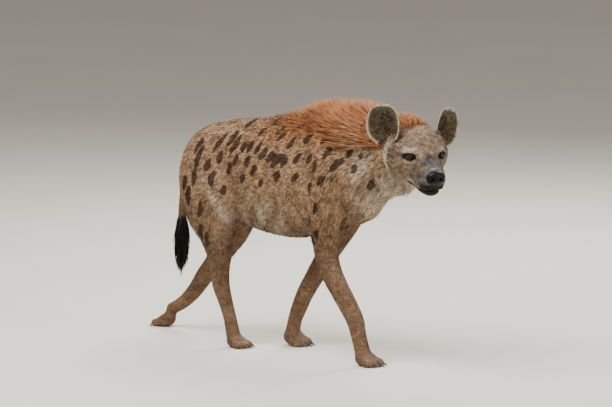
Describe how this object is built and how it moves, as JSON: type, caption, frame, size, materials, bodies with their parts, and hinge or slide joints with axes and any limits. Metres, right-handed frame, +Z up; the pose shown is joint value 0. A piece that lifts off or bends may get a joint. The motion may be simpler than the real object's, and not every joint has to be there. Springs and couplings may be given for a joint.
{
  "type": "spotted hyena model",
  "caption": "A life-size still model of a walking spotted hyena with its head turned to its right, for a museum display",
  "frame": {"origin": "middle of the bounding box in plan, on the floor", "axes": "+X the way the animal walks, +Y its left, +Z up"},
  "size_m": [1.5342, 0.332, 0.8656],
  "materials": {
    "coat": "short buff-brown fur with dark brown spots",
    "mane": "longer reddish-orange fur",
    "face": "very short grey-brown fur",
    "leg": "short brown fur with dark blotches",
    "ear": "thin dark olive-grey fur",
    "tail": "buff stem with long black fur",
    "eye": "glossy dark brown",
    "nose": "moist black skin",
    "claw": "dull dark horn"
  },
  "bodies": {
    "root": {"eye_R": "eye", "ear_R": "ear", "eye_L": "eye", "ear_L": "ear", "nose": "nose", "head": "face", "neck": "mane", "torso": "coat", "tail": "tail", "foreleg_R_upper": "leg", "foreleg_R_lower": "leg", "foreleg_R_foot": "leg", "claw_foreleg_R_1": "claw", "claw_foreleg_R_2": "claw", "claw_foreleg_R_3": "claw", "claw_foreleg_R_4": "claw", "foreleg_L_upper": "leg", "foreleg_L_lower": "leg", "foreleg_L_foot": "leg", "claw_foreleg_L_1": "claw", "claw_foreleg_L_2": "claw", "claw_foreleg_L_3": "claw", "claw_foreleg_L_4": "claw", "hindleg_R_upper": "leg", "hindleg_R_lower": "leg", "hindleg_R_foot": "leg", "claw_hindleg_R_1": "claw", "claw_hindleg_R_2": "claw", "claw_hindleg_R_3": "claw", "claw_hindleg_R_4": "claw", "hindleg_L_upper": "leg", "hindleg_L_lower": "leg", "hindleg_L_foot": "leg", "claw_hindleg_L_1": "claw", "claw_hindleg_L_2": "claw", "claw_hindleg_L_3": "claw", "claw_hindleg_L_4": "claw"}
  },
  "joints": []
}
